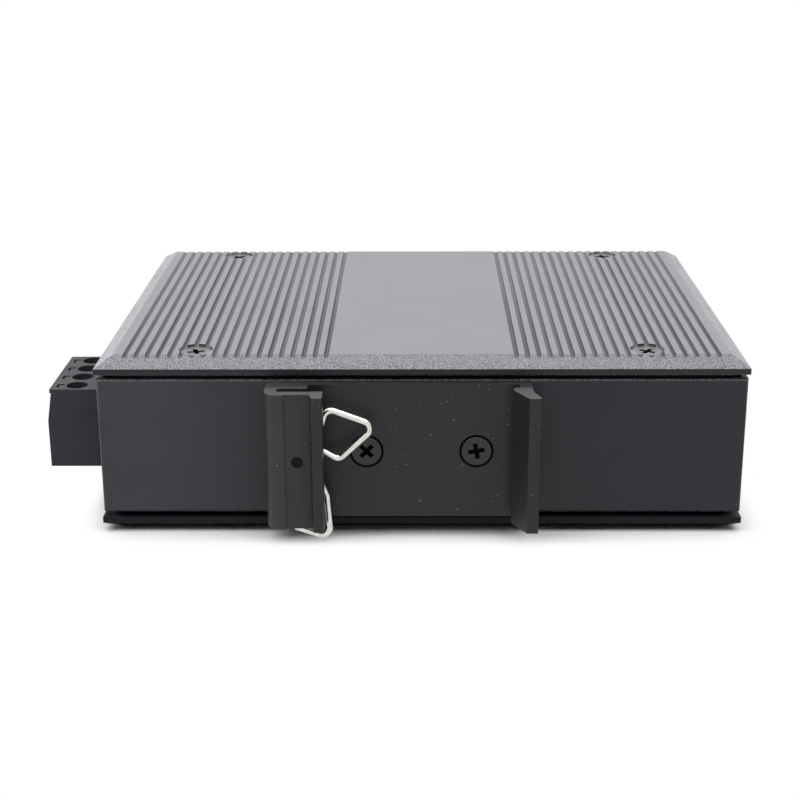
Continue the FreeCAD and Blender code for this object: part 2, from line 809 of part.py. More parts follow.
def terminal_plug():
    """Housing of the power plug: a chamber, a driver hole and a wire entry for each pole."""
    body = new_body("terminal_plug")
    poles = range(int(size("pole_count")))
    brow = f"({PLUG_FACE} + plug_brow_back)"
    block = [
        (PLUG_BACK, PLUG_LOW),
        (PLUG_BACK, PLUG_TOP),
        (brow, PLUG_TOP),
        (brow, f"{PLUG_TOP} - plug_brow"),
        (f"{PLUG_FACE} + plug_slope_back", f"{PLUG_TOP} - plug_brow"),
        (PLUG_FACE, f"{PLUG_LOW} + plug_slope_low"),
        (PLUG_FACE, PLUG_LOW),
    ]
    middle = f"-{PLUG_MID}"
    pad(body, outline(body, "block", "XZ_Plane", [block], middle), "pole_count * pole_pitch", both=True)
    nose_end = f"({PLUG_BACK} + nose_length)"
    nose_base = f"({PLUG_LOW} + nose_low)"
    nose = rectangle(f"{PLUG_BACK} - plug_drop", nose_end, nose_base, f"{nose_base} + nose_height")
    pad(body, outline(body, "nose", "XZ_Plane", [nose], middle), "nose_width", both=True)
    over_screws = [(DRIVER_X, pole_y(k)) for k in poles]
    holes = discs(body, "driver", "XY_Plane", over_screws, "driver_width", PLUG_TOP)
    cut(body, holes, "plug_height - chamber_high")
    half = "(chamber_width / 2)"
    back = f"{CHAMBER_X} - chamber_length"
    rooms = [rectangle(back, CHAMBER_X, f"{pole_y(k)} - {half}", f"{pole_y(k)} + {half}") for k in poles]
    level = f"({PLUG_LOW} + chamber_high)"
    cut(body, outline(body, "chamber", "XY_Plane", rooms, level), "chamber_high - chamber_low")
    half = "(entry_width / 2)"
    low = f"{PLUG_LOW} + entry_low"
    high = f"{PLUG_LOW} + entry_high"
    entries = [rectangle(f"{pole_y(k)} - {half}", f"{pole_y(k)} + {half}", low, high) for k in poles]
    reach = f"{CHAMBER_X} - chamber_length - {PLUG_FACE}"
    cut(body, outline(body, "entry", "YZ_Plane", entries, PLUG_FACE), reach, back=True)
    half = "(socket_width / 2)"
    low = f"{PLUG_LOW} + socket_low"
    high = f"{PLUG_LOW} + socket_high"
    sockets = [rectangle(f"{pole_y(k)} - {half}", f"{pole_y(k)} + {half}", low, high) for k in poles]
    cut(body, outline(body, "socket", "YZ_Plane", sockets, nose_end), "nose_length + chamber_front")
    notches = []
    for k in poles:
        x = f"({PLUG_FACE} + notch_far)"
        y = f"({pole_y(k)} - notch_span)"
        corners = [
            (x, y),
            (f"{x} + notch_leg", y),
            (f"{x} + notch_leg", f"{y} + notch_span"),
            (f"{x} + notch_span", f"{y} + notch_span"),
            (f"{x} + notch_span", f"{y} + 1.5 * notch_span"),
            (x, f"{y} + 1.5 * notch_span"),
        ]
        notches.append(corners)
    cut(body, outline(body, "notch", "XY_Plane", notches, PLUG_TOP), "notch_sink")
    return body


def plug_contacts():
    """Contact strips through the cages, each ending in a fork for one header pin."""
    master = new_body("plug_contact")
    low = f"({PLUG_LOW} + strip_low)"
    top = f"({PLUG_LOW} + strip_high)"
    high = f"({PLUG_LOW} + fork_high)"
    start = f"({CHAMBER_X} - chamber_length + strip_end)"
    tip = f"({PLUG_BACK} + nose_length - fork_back)"
    root = f"({PLUG_BACK} + fork_root)"
    fork = [
        (start, low),
        (tip, low),
        (tip, f"{low} + leaf"),
        (root, f"{low} + leaf"),
        (root, f"{high} - leaf"),
        (tip, f"{high} - leaf"),
        (tip, high),
        (f"{root} - 2 * leaf", high),
        (f"{root} - 2 * leaf", top),
        (start, top),
    ]
    pad(master, outline(master, "fork", "XZ_Plane", [fork]), "strip_width", both=True)
    poles = range(int(size("pole_count")))
    return grouped("plug_contacts", [copy_of(master, f"contact_{k + 1}", y=pole_y(k)) for k in poles])


def wire_clamps():
    """A clamp screw and its rising cage for each pole, with the cages at their lowest."""
    clamps = []
    for k in range(int(size("pole_count"))):
        x = DRIVER_X
        y = pole_y(k)
        head_low = f"({PLUG_LOW} + clamp_top - clamp_head_height)"
        tip = f"({PLUG_LOW} + strip_high + clamp_play / 2)"
        head = rod(f"clamp_head_{k + 1}", x, y, head_low, "clamp_head", "clamp_head_height")
        shank = rod(f"clamp_shank_{k + 1}", x, y, tip, "clamp_thread", f"{head_low} - {tip}")
        slot = box(
            f"clamp_slot_{k + 1}",
            f"{x} - clamp_head",
            f"{y} - clamp_slot / 2",
            f"{PLUG_LOW} + clamp_top - clamp_slot_sink",
            "2 * clamp_head",
            "clamp_slot",
            "clamp_head_height",
        )
        blank = fused(f"clamp_blank_{k + 1}", [head, shank])
        clamps.append(without(f"clamp_screw_{k + 1}", blank, [slot]))
        left = f"({x} - cage_length / 2)"
        low = f"({PLUG_LOW} + chamber_low + cage_play)"
        roof = f"({PLUG_LOW} + strip_high + cage_rise)"
        frame = box(
            f"cage_frame_{k + 1}",
            left,
            f"{y} - cage_width / 2",
            low,
            "cage_length",
            "cage_width",
            f"{roof} + cage_top - {low}",
        )
        window = box(
            f"cage_window_{k + 1}",
            f"{left} - cage_wall",
            f"{y} - cage_width / 2 + cage_wall",
            f"{low} + cage_wall",
            "cage_length + 2 * cage_wall",
            "cage_width - 2 * cage_wall",
            f"{roof} - {low} - cage_wall",
        )
        start = f"{low} + cage_wall"
        thread = rod(f"cage_thread_{k + 1}", x, y, start, "(clamp_thread + clamp_play)", "chamber_high")
        clamps.append(without(f"clamp_cage_{k + 1}", frame, [window, thread]))
    return clamps


def terminal_header():
    """Shroud of the board's power connector, open to the end of the case."""
    half = f"({SHROUD_WIDTH} / 2)"
    nose_base = f"({PLUG_LOW} + nose_low)"
    shell = box(
        "shroud_block",
        SHROUD_MOUTH,
        f"{PLUG_MID} - {half}",
        BOARD_TOP,
        f"{SHROUD_END} - {SHROUD_MOUTH}",
        SHROUD_WIDTH,
        "shroud_height",
    )
    bay = box(
        "shroud_bay",
        f"{SHROUD_MOUTH} - sheet",
        f"{PLUG_MID} - nose_width / 2 - nose_play",
        f"{nose_base} - nose_play",
        f"{SHROUD_END} - shroud_back - {SHROUD_MOUTH} + sheet",
        "nose_width + 2 * nose_play",
        "nose_height + 2 * nose_play",
    )
    tools = [bay]
    pins = []
    for k in range(int(size("pole_count"))):
        y = f"({pole_y(k)} - post_pin / 2)"
        low = f"({PLUG_LOW} + post_pin_low)"
        tip = f"({PLUG_BACK} + pin_tip)"
        end = f"({HEADER_PIN_X} + post_pin / 2)"
        tools.append(box(f"pin_way_{k + 1}", tip, y, low, f"{end} - {tip}", "post_pin", "post_pin"))
        blade = box(f"pin_blade_{k + 1}", tip, y, low, f"{end} - {tip}", "post_pin", "post_pin")
        leg_low = f"({BOARD_LOW} - pin_tail_low)"
        leg = box(
            f"pin_leg_{k + 1}",
            f"{end} - post_pin",
            y,
            leg_low,
            "post_pin",
            "post_pin",
            f"{low} + post_pin - {leg_low}",
        )
        pins.append(fused(f"header_pin_{k + 1}", [blade, leg]))
    return [without("terminal_header", shell, tools), grouped("header_pins", pins)]


POSTS = [
    ("(post_side - case_width / 2)", f"({FRONT} - flange_depth - post_far)"),
    ("(post_side - case_width / 2)", "post_near"),
    ("(case_width / 2 - post_side)", "-post_near"),
    ("(case_width / 2 - post_side)", f"({REAR} + flange_depth + post_far)"),
]


def main_board():
    """Circuit board with its fixing holes and the power header's holes."""
    body = new_body("main_board")
    wide = f"({SIDE} - sheet - board_gap)"
    plan = rectangle(f"-{wide}", wide, f"{REAR} + sheet + board_gap", f"{FRONT} - sheet - board_gap")
    pad(body, outline(body, "board_plan", "XY_Plane", [plan], BOARD_LOW), "board_thickness")
    cut(body, discs(body, "post_hole", "XY_Plane", POSTS, HOLE_WIDTH, BOARD_TOP))
    spots = [(HEADER_PIN_X, pole_y(k)) for k in range(int(size("pole_count")))]
    cut(body, discs(body, "pin_holes", "XY_Plane", spots, "pin_hole", BOARD_TOP))
    return body


def board_fixings():
    """Hexagonal standoffs rooted in the bottom panel, and the pan head screws in them."""
    screw = new_body("pan_screw")
    head = "(pan_width / 2)"
    thread = "(thread_width / 2)"
    half_section = [
        ("0", "pan_height"),
        (f"{head} * 0.7", "pan_height"),
        (head, "pan_height * 0.6"),
        (head, "0"),
        (thread, "0"),
        (thread, f"-{BOARD_SCREW}"),
        ("0", f"-{BOARD_SCREW}"),
    ]
    spun(screw, "pan_half", half_section)
    posts = []
    screws = []
    for k, (x, y) in enumerate(POSTS):
        hexagon = doc.addObject("Part::Prism", f"post_hexagon_{k + 1}")
        hexagon.Polygon = 6
        hexagon.setExpression("Circumradius", bound("post_width") + " / 2 / cos(30 deg)")
        hexagon.setExpression("Height", bound(BOARD_LIFT))
        place(hexagon, x, y, PANEL, turned())
        root = rod(f"post_root_{k + 1}", x, y, f"{PANEL} - post_root", "thread_width", "post_root")
        web_top = f"{PANEL} + post_web"
        bore = rod(f"post_bore_{k + 1}", x, y, web_top, "(thread_width + nut_play)", BOARD_LIFT)
        stem = fused(f"post_stem_{k + 1}", [hexagon, root])
        posts.append(without(f"post_{k + 1}", stem, [bore]))
        screws.append(copy_of(screw, f"board_screw_{k + 1}", x, y, BOARD_TOP, turned(about_z=25 * k)))
    return [grouped("board_standoffs", posts), grouped("board_screws", screws)]


def bottom_side_panel(master):
    """The same panel turned over, with a blind hole for each standoff's root."""
    panel = copy_of(master, "panel_turned_over", z="case_height", rotation=turned(about_x=180))
    low = f"({PANEL} - post_root - insert_play)"
    width = "(thread_width + nut_play)"
    holes = [rod(f"root_hole_{k + 1}", x, y, low, width, BOARD_LIFT) for k, (x, y) in enumerate(POSTS)]
    return without("bottom_side_panel", panel, holes)


def port_opening():
    """Outline of a port's mouth: a wide bay with two steps for the plug's latch."""
    levels = [("cavity_width", "cavity_low"), ("latch_width", "latch_low"), ("key_width", "key_low")]
    left = [("-cavity_width / 2", f"{BOARD_TOP} + cavity_high")]
    for k, (width, low) in enumerate(levels):
        if k > 0:
            left.append((f"-{width} / 2", f"{BOARD_TOP} + {levels[k - 1][1]}"))
        left.append((f"-{width} / 2", f"{BOARD_TOP} + {low}"))
    right = [(x[1:], z) for x, z in reversed(left)]
    return left + right


def jack_shell():
    """Folded shield of a port, open below and at its mouth."""
    body = new_body("jack_shell")
    half = "(port_width / 2)"
    rear = f"({PORT_FACE} - port_depth)"
    plan = rectangle(f"-{half}", half, rear, PORT_FACE)
    pad(body, outline(body, "shell_plan", "XY_Plane", [plan], BOARD_TOP), "port_height")
    inner = f"({half} - shield)"
    bay = rectangle(f"-{inner}", inner, f"{rear} + shield", f"{PORT_FACE} - shield")
    cut(body, outline(body, "shell_bay", "XY_Plane", [bay], BOARD_TOP), "port_height - shield", back=True)
    mouth = outline(body, "shell_mouth", "XZ_Plane", [port_opening()], f"-{PORT_FACE}")
    cut(body, mouth, "2 * shield", back=True)
    return body


def jack_insert():
    """Moulded body of a port, filling its shield, with the bay that takes the plug."""
    body = new_body("jack_insert")
    half = "(port_width / 2 - shield - insert_play)"
    front = f"({PORT_FACE} - shield - insert_play)"
    plan = rectangle(f"-{half}", half, f"{PORT_FACE} - port_depth + shield + insert_play", front)
    height = "port_height - shield - insert_play"
    pad(body, outline(body, "insert_plan", "XY_Plane", [plan], BOARD_TOP), height)
    bay = outline(body, "insert_bay", "XZ_Plane", [port_opening()], f"-{front}")
    cut(body, bay, "cavity_depth", back=True)
    return body


def port_wire():
    """One contact wire, slanting back from the roof of the port's bay."""
    body = new_body("port_wire")
    roof = f"({BOARD_TOP} + cavity_high)"
    slant = [
        (f"{PORT_FACE} - wire_front", roof),
        (f"{PORT_FACE} - wire_front - wire_rise", roof),
        (f"{PORT_FACE} - wire_back", f"{roof} - wire_drop + wire_rise / 2"),
        (f"{PORT_FACE} - wire_back", f"{roof} - wire_drop"),
    ]
    pad(body, outline(body, "wire_slant", "YZ_Plane", [slant]), "wire_width", both=True)
    return body


def ports():
    """The ports: a shield, a moulded body and a magnetics module each, and all their wires."""
    shell = jack_shell()
    insert = jack_insert()
    wire = port_wire()
    placed = []
    wires = []
    for k in range(int(size("port_count"))):
        x = port_x(k)
        placed.append(copy_of(shell, f"jack_shell_{k + 1}", x))
        placed.append(copy_of(insert, f"jack_insert_{k + 1}", x))
        for j in range(int(size("wire_count"))):
            spot = f"{x} + ({j} - (wire_count - 1) / 2) * wire_pitch"
            wires.append(copy_of(wire, f"wire_{k + 1}_{j + 1}", spot))
        module = box(
            f"magnetics_{k + 1}",
            f"{x} - magnetics_width / 2",
            f"{PORT_FACE} - port_depth - magnetics_gap - magnetics_depth",
            BOARD_TOP,
            "magnetics_width",
            "magnetics_depth",
            "magnetics_height",
        )
        placed.append(module)
    return placed + [grouped("jack_contacts", wires)]


def board_parts():
    """The switch chip with its thermal pad, and the power supply's inductor and capacitors."""
    x = "(chip_right - chip_width / 2)"
    y = "(-chip_rear - chip_width / 2)"
    chip_low = f"({BOARD_LOW} - chip_height)"
    chip = box("switch_chip", x, y, chip_low, "chip_width", "chip_width", "chip_height")
    pad_height = f"{chip_low} - {PANEL}"
    heat_pad = box("thermal_pad", x, y, PANEL, "chip_width", "chip_width", pad_height)
    coil = new_body("coil")
    edge = "(inductor_width / 2)"
    drum = [
        ("0", "0"),
        (edge, "0"),
        (edge, "inductor_height / 5"),
        (f"{edge} * 0.8", "inductor_height / 5"),
        (f"{edge} * 0.8", "inductor_height * 4 / 5"),
        (edge, "inductor_height * 4 / 5"),
        (edge, "inductor_height"),
        ("0", "inductor_height"),
    ]
    spun(coil, "drum_half", drum)
    found = [chip, heat_pad, copy_of(coil, "power_inductor", SUPPLY_X, SUPPLY_Y, BOARD_TOP)]
    can = new_body("can")
    edge = "(capacitor_width / 2)"
    can_half = [
        ("0", "0"),
        (edge, "0"),
        (edge, "capacitor_height * 0.1"),
        (f"{edge} * 0.9", "capacitor_height * 0.15"),
        (edge, "capacitor_height * 0.2"),
        (edge, "capacitor_height"),
        ("0", "capacitor_height"),
    ]
    spun(can, "can_half", can_half)
    for k in range(2):
        spot = (SUPPLY_X, f"{SUPPLY_Y} + capacitor_gap + {k} * capacitor_pitch", BOARD_TOP)
        found.append(copy_of(can, f"capacitor_{k + 1}", *spot))
    return found


def indicators():
    """Two small lamps on the board and the pipes that carry their light to the front."""
    lamps = []
    pipes = []
    y = f"({FRONT} - pipe_reach)"
    for k in range(2):
        x = lamp_x(k)
        half = "(pipe_width / 2)"
        lamp = (f"{x} - {half}", f"{y} - {half}", BOARD_TOP, "pipe_width", "pipe_width", "lamp_height")
        lamps.append(box(f"lamp_{k + 1}", *lamp))
        leg_low = f"({BOARD_TOP} + lamp_height)"
        level = f"({BOARD_TOP} + pipe_rise)"
        leg_height = f"{level} + {half} - {leg_low}"
        corner = (f"{x} - {half}", f"{y} - {half}", leg_low)
        leg = box(f"pipe_leg_{k + 1}", *corner, "pipe_width", "pipe_width", leg_height)
        tip = f"{FRONT} + pipe_proud"
        run = rod(f"pipe_run_{k + 1}", x, tip, level, "pipe_width", f"{tip} - {y}", turned(about_x=90))
        pipes.append(fused(f"light_pipe_{k + 1}", [leg, run]))
    return [grouped("indicator_leds", lamps), grouped("light_pipes", pipes)]


def write(nodes):
    """Check every object and each piece, then write one STEP file for each piece."""
    doc.recompute()
    for entry in doc.Objects:
        if "Invalid" in entry.State or "Error" in entry.State:
            raise ValueError(f"{entry.Name} is {entry.State}")
    os.makedirs("parts", exist_ok=True)
    for node in nodes:
        if node.Shape.isNull() or not node.Shape.isValid():
            raise ValueError(node.Label + " has no valid shape")
        node.Shape.exportStep(f"parts/{node.Label}.step")
        print(f"{node.Label}: {len(node.Shape.Solids)} solid, {node.Shape.Volume:.1f} mm3")


panel = side_panel()
long_screw = countersunk_screw("panel_screw_master", "panel_screw_length")
clip_screw = countersunk_screw("clip_screw_master", "clip_screw_length")
clip_screws = []
for k, (hand, angle) in enumerate(((-1, 45), (1, 10))):
    spot = (f"{hand} * clip_screw_side", out("clip_plate"), MIDDLE)
    clip_screws.append(copy_of(clip_screw, f"clip_screw_{k + 1}", *spot, turned(90, angle)))
nodes = [
    panel,
    bottom_side_panel(panel),
    rear_chassis(),
    front_plate(),
    panel_screws("top_panel_screws", long_screw, True),
    panel_screws("bottom_panel_screws", long_screw, False),
    *pressed_nuts(),
    din_clip(),
    grouped("din_clip_screws", clip_screws),
    spring_pin(),
    wire_spring(),
    terminal_plug(),
    plug_contacts(),
    *wire_clamps(),
    *terminal_header(),
    main_board(),
    *board_fixings(),
    *ports(),
    *board_parts(),
    *indicators(),
]
write(nodes)
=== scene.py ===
"""Finishes, eased edges, a bent spring wire, stage and lights for the rail-mounted ethernet switch."""

import json
import math

import bmesh
import bpy
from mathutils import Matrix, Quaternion, Vector


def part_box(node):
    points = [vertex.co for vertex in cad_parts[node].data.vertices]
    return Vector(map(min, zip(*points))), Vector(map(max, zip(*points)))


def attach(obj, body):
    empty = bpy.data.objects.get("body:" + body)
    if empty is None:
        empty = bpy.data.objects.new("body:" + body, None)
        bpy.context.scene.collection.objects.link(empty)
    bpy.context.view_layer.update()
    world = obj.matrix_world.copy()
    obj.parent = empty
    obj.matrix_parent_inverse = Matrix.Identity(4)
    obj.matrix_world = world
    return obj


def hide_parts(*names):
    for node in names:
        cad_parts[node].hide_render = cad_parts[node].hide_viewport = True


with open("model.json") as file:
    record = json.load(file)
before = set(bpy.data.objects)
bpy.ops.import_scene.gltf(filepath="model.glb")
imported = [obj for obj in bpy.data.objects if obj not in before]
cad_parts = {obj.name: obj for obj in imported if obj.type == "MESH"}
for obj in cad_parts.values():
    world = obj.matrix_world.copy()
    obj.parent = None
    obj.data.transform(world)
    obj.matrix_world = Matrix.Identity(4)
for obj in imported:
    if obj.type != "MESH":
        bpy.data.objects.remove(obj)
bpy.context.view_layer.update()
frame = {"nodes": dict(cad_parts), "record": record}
RECORD = frame["record"]
NODES = frame["nodes"]
BODY_OF = {node: body for body, members in RECORD["behaviour"]["bodies"].items() for node in members}
SLOT_OF = {part["node"]: part["material_slot"] for part in RECORD["subparts"]}

MM = 0.001
WHITE = (1.0, 1.0, 1.0, 1.0)
FIRST_COLOUR = 6    # a Mix node's colour sockets come after those for numbers and vectors
SECOND_COLOUR = 7
MIXED_COLOUR = 2

# Camera: it stands behind the switch, a little above it, and looks at the rail clip.
CAMERA_PLACE = (-0.828 * MM, -300.872 * MM, 112.263 * MM)
CAMERA_TURN = (71.367, 0.228, 0.565)    # degrees about X, Y and Z
CAMERA_LENS = 70.61                     # millimetres, for a sensor of the width below
CAMERA_SENSOR = 36.0
CAMERA_NEAREST = 10 * MM
CAMERA_FARTHEST = 20.0

# Stage and lights, in metres and watts. The two "rear" boxes stand beyond the switch, seen from the camera.
WORLD_FILL = 0.04         # strength of the white surround on matt surfaces
FLOOR_RADIUS = 3.0
FLOOR_CORNERS = 96
FLOOR_TONE = (0.8, 0.8, 0.8, 1.0)
SHADOW_FIELD = (56 * MM, 42.8 * MM, 0.0)    # half of the field that keeps its shadows in full
SHADOW_FADE = 6.5 * MM                      # past that field they melt away over this distance
SOFTBOXES = (
    # name, place, what it aims at, width, depth, watts
    ("overhead", (0.0, -0.18, 0.93), (0.0, 0.0, 0.0), 1.8, 1.2, 16.5),
    ("left_rear", (-0.56, 0.78, 0.28), (0.0, 0.0, 0.02), 0.4, 0.4, 1.6),
    ("right_rear", (0.56, 0.78, 0.28), (0.0, 0.0, 0.02), 0.4, 0.4, 1.0),
    ("left_near", (-0.28, -0.22, 0.20), (-0.03, -0.04, 0.02), 0.16, 0.12, 0.12),
)

# Grooves of the upper side panel.
FLAT_REACH = 39 * MM                       # from a side panel's middle to where its long bevels start
GROOVE_LEVELS = (0.175 * MM, 0.7 * MM)     # how deep a groove's mouth and floor lie
GROOVE_SLACK = 0.02 * MM                   # a vertex counts as on such a level when it is this near
GROOVE_NEAR = 0.85                         # share of that depth left at the rear and at the front end
GROOVE_FAR = 0.42
SHADE_LEVELS = (32.37, 32.12)              # heights, in mm, between which painted shade darkens a groove's colour
SHADE_FIELD = (("X", 54.0), ("Y", 39.0))   # and how far from the middle it does, in mm
SHADE_EDGE = 0.3                           # that field's soft edge, in mm

# Patterns.
NOISE_LOW = 0.3       # a noise pattern's values lie mostly between these two
NOISE_HIGH = 0.7
SPECK_HEART = 0.4     # share of a speck's radius that is fully covered; it thins out from there
CHANCE_STEP = 0.01    # how sharply specks are kept or left out

# Places where a finish changes, in mm, most of them painted light or shade: where it begins to, and where the
# change is complete.
CHASSIS_PAINTED_LIGHT = (-20.0, -48.0)    # along X; painted light, paler to the left
CLIP_PAINTED_LIGHT = (-18.0, -25.0)       # along X; painted light, paler to the left
SAWN_ENDS = (-46.2, -45.4)       # along Y, from sawn metal to nearly black: painted shade under the panel's edge
UNDERSIDE = (0.05, 0.15)         # along Z, from pale to the black of painted shade

# Eased edges.
SAME_SPOT = 0.002 * MM                 # vertices nearer than this become one
SAME_PLANE = math.radians(0.5)         # faces that meet flatter than this become one
SHARP_FROM = math.radians(20.0)        # edges sharper than this are rounded
SMOOTH_UP_TO = math.radians(35.0)      # edges flatter than this are shaded smooth
EASE_STEPS = 2                         # strips of faces in a rounded edge

# Painted shade round the screws.
CROSS_REACH = 1.9 * MM    # the cross in a screw's head
SINK_REACH = 3.2 * MM     # the countersink in the clip
HIDDEN_DEPTH = 0.4 * MM   # faces deeper than this get painted shade whichever way they face
FACING_OUT = 0.9          # so are those that face outward less than this, whatever their depth
HEAD_SHARE = 0.95         # width left to the clip screws, so that a dark ring shows round each head

# Corners of the spring wire in its own plane, in mm from the pin: across, then up.
UPPER_LOOP = [(4.0, 1.3), (7.0, -0.4), (13.6, 5.75), (5.0, 8.95), (2.9, 2.3)]
PIN_TURN = [(0.0, 2.3), (-2.3, 2.3), (-2.3, -2.3), (0.0, -2.3)]
LOWER_HOOK = [(2.9, -2.3), (4.8, -7.0), (5.4, -15.1), (-0.8, -12.95)]
WIRE_BEND = 1.4 * MM                   # radius of each bend, along the wire's middle
WIRE_BEND_STEPS = 8
WIRE_RING_STEPS = 5                    # roundness of the wire's section
WIRE_SMOOTH_UP_TO = math.radians(50.0)


# ---------------------------------------------------------------- camera, stage and lights

def add_camera():
    lens = bpy.data.cameras.new("camera")
    lens.sensor_width = CAMERA_SENSOR
    lens.lens = CAMERA_LENS
    lens.clip_start = CAMERA_NEAREST
    lens.clip_end = CAMERA_FARTHEST
    camera = bpy.data.objects.new("camera", lens)
    camera.location = CAMERA_PLACE
    camera.rotation_euler = [math.radians(angle) for angle in CAMERA_TURN]
    bpy.context.scene.collection.objects.link(camera)
    bpy.context.scene.camera = camera


def add_softbox(name, place, aim, width, depth, watts):
    lamp = bpy.data.lights.new(name, "AREA")
    lamp.shape = "RECTANGLE"
    lamp.size = width
    lamp.size_y = depth
    lamp.energy = watts
    box = bpy.data.objects.new(name, lamp)
    box.location = place
    box.rotation_euler = (Vector(aim) - Vector(place)).to_track_quat("-Z", "Y").to_euler()
    bpy.context.scene.collection.objects.link(box)


def for_rays(tree, *kinds):
    """One for light rays of any of these kinds, zero for all others."""
    path = tree.nodes.new("ShaderNodeLightPath")
    step = path.outputs[kinds[0]]
    for kind in kinds[1:]:
        either = tree.nodes.new("ShaderNodeMath")
        either.operation = "MAXIMUM"
        tree.links.new(step, either.inputs[0])
        tree.links.new(path.outputs[kind], either.inputs[1])
        step = either.outputs[0]
    return step


def add_world():
    """White to the eye, in reflections and through clear parts, a soft grey fill for everything else."""
    world = bpy.data.worlds.new("studio")
    world.use_nodes = True
    bpy.context.scene.world = world
    tree = world.node_tree
    sky = tree.nodes["Background"]
    sky.inputs["Color"].default_value = WHITE
    strength = tree.nodes.new("ShaderNodeMapRange")
    strength.inputs["To Min"].default_value = WORLD_FILL
    strength.inputs["To Max"].default_value = 1.0
    seen = for_rays(tree, "Is Camera Ray", "Is Glossy Ray", "Is Transmission Ray")
    tree.links.new(seen, strength.inputs["Value"])
    tree.links.new(strength.outputs["Result"], sky.inputs["Strength"])


def outside_shadow_field(tree):
    """How far a spot of the floor lies outside the field that keeps its shadows."""
    step = tree.nodes.new("ShaderNodeTexCoord").outputs["Object"]
    for operation, amount in (
        ("ABSOLUTE", None),
        ("SUBTRACT", SHADOW_FIELD),
        ("MAXIMUM", (0.0, 0.0, 0.0)),
        ("LENGTH", None),
    ):
        away = tree.nodes.new("ShaderNodeVectorMath")
        away.operation = operation
        tree.links.new(step, away.inputs[0])
        if amount:
            away.inputs[1].default_value = amount
        step = away.outputs[0]
    return away.outputs["Value"]


def white_sweep():
    """Matt white near the switch; further off it glows like the surround and has no edge to the eye."""
    paper = bpy.data.materials.new("white_sweep")
    paper.use_nodes = True
    tree = paper.node_tree
    tree.nodes.clear()
    seen = for_rays(tree, "Is Camera Ray", "Is Glossy Ray")
    tone = tree.nodes.new("ShaderNodeMix")
    tone.data_type = "RGBA"
    tone.inputs[FIRST_COLOUR].default_value = FLOOR_TONE
    tone.inputs[SECOND_COLOUR].default_value = WHITE
    tree.links.new(seen, tone.inputs["Factor"])
    matt = tree.nodes.new("ShaderNodeBsdfDiffuse")
    tree.links.new(tone.outputs[MIXED_COLOUR], matt.inputs["Color"])
    glow = tree.nodes.new("ShaderNodeEmission")
    glow.inputs["Color"].default_value = WHITE
    fade = tree.nodes.new("ShaderNodeMapRange")
    fade.interpolation_type = "SMOOTHSTEP"
    fade.inputs["From Max"].default_value = SHADOW_FADE
    tree.links.new(outside_shadow_field(tree), fade.inputs["Value"])
    gate = tree.nodes.new("ShaderNodeMath")
    gate.operation = "MULTIPLY"
    tree.links.new(fade.outputs["Result"], gate.inputs[0])
    tree.links.new(seen, gate.inputs[1])
    blend = tree.nodes.new("ShaderNodeMixShader")
    tree.links.new(gate.outputs[0], blend.inputs["Fac"])
    tree.links.new(matt.outputs[0], blend.inputs[1])
    tree.links.new(glow.outputs[0], blend.inputs[2])
    out = tree.nodes.new("ShaderNodeOutputMaterial")
    tree.links.new(blend.outputs[0], out.inputs["Surface"])
    return paper


def add_floor():
    """A wide disc: it takes the shadows near the switch and melts into the white surround."""
    form = bmesh.new()
    bmesh.ops.create_circle(form, cap_ends=True, segments=FLOOR_CORNERS, radius=FLOOR_RADIUS)
    mesh = bpy.data.meshes.new("floor")
    form.to_mesh(mesh)
    form.free()
    floor = bpy.data.objects.new("floor", mesh)
    bpy.context.scene.collection.objects.link(floor)
    mesh.materials.append(white_sweep())


# ---------------------------------------------------------------- finishes

